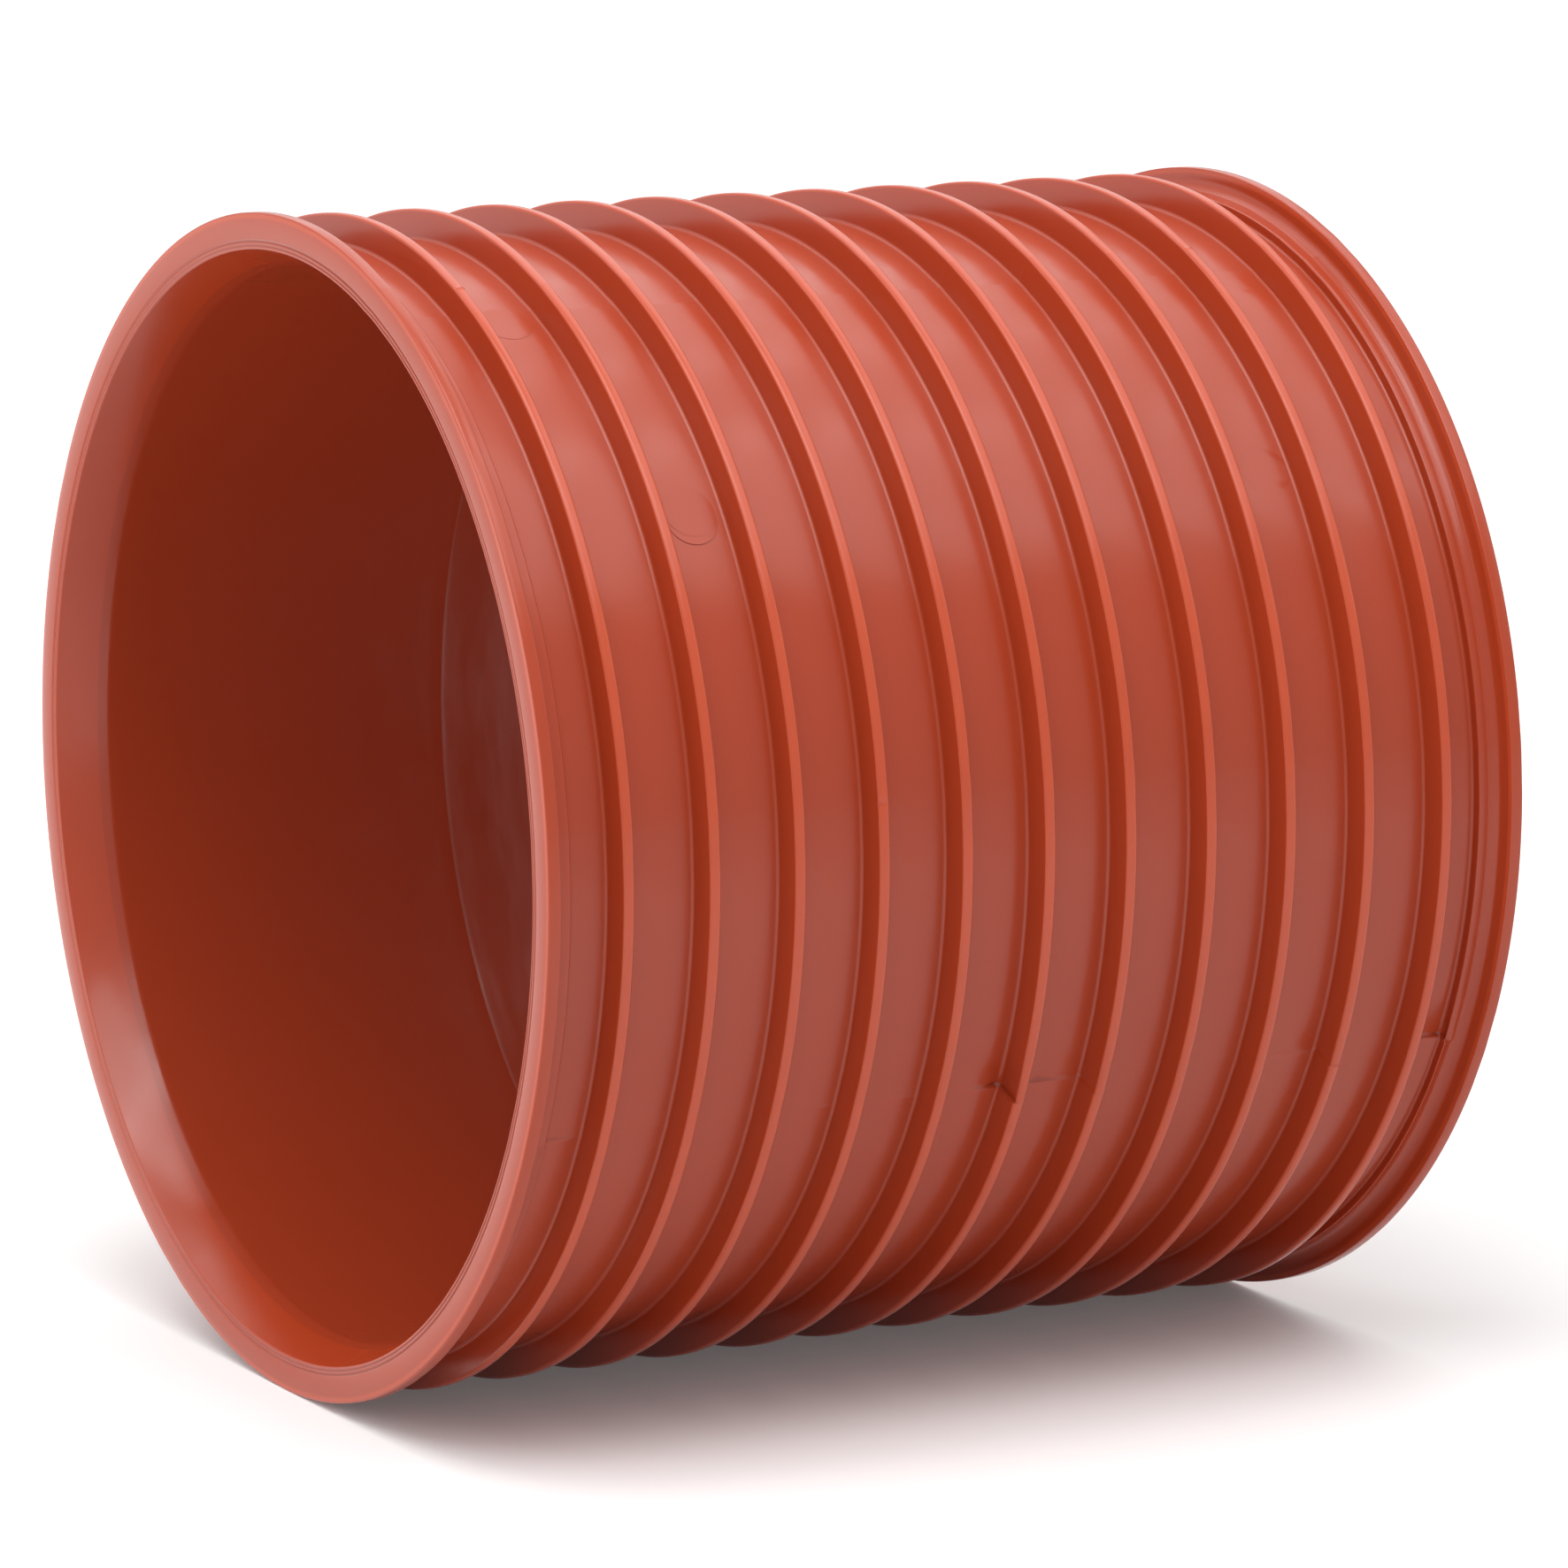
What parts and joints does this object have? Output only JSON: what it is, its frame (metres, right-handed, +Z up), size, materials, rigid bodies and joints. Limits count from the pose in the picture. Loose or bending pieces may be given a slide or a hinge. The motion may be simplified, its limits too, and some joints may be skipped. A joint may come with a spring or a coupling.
{
  "type": "ribbed pipe coupling",
  "caption": "Short ribbed sleeve coupling in brick-red plastic, with a smooth bore, tapered mouths and stepped end rims, for joining large corrugated drain pipe.",
  "frame": {"origin": "middle of the pipe axis, half-way between the two end faces", "axes": "+X along the pipe axis towards the mouth that is away from the camera in the picture, +Z up, -Y towards the camera's side; the part lies on its two end rims"},
  "size_m": [0.319, 0.348, 0.3479],
  "materials": {
    "coupling": "satin injection-moulded polypropylene"
  },
  "bodies": {
    "root": {"coupling": "coupling"}
  },
  "joints": []
}
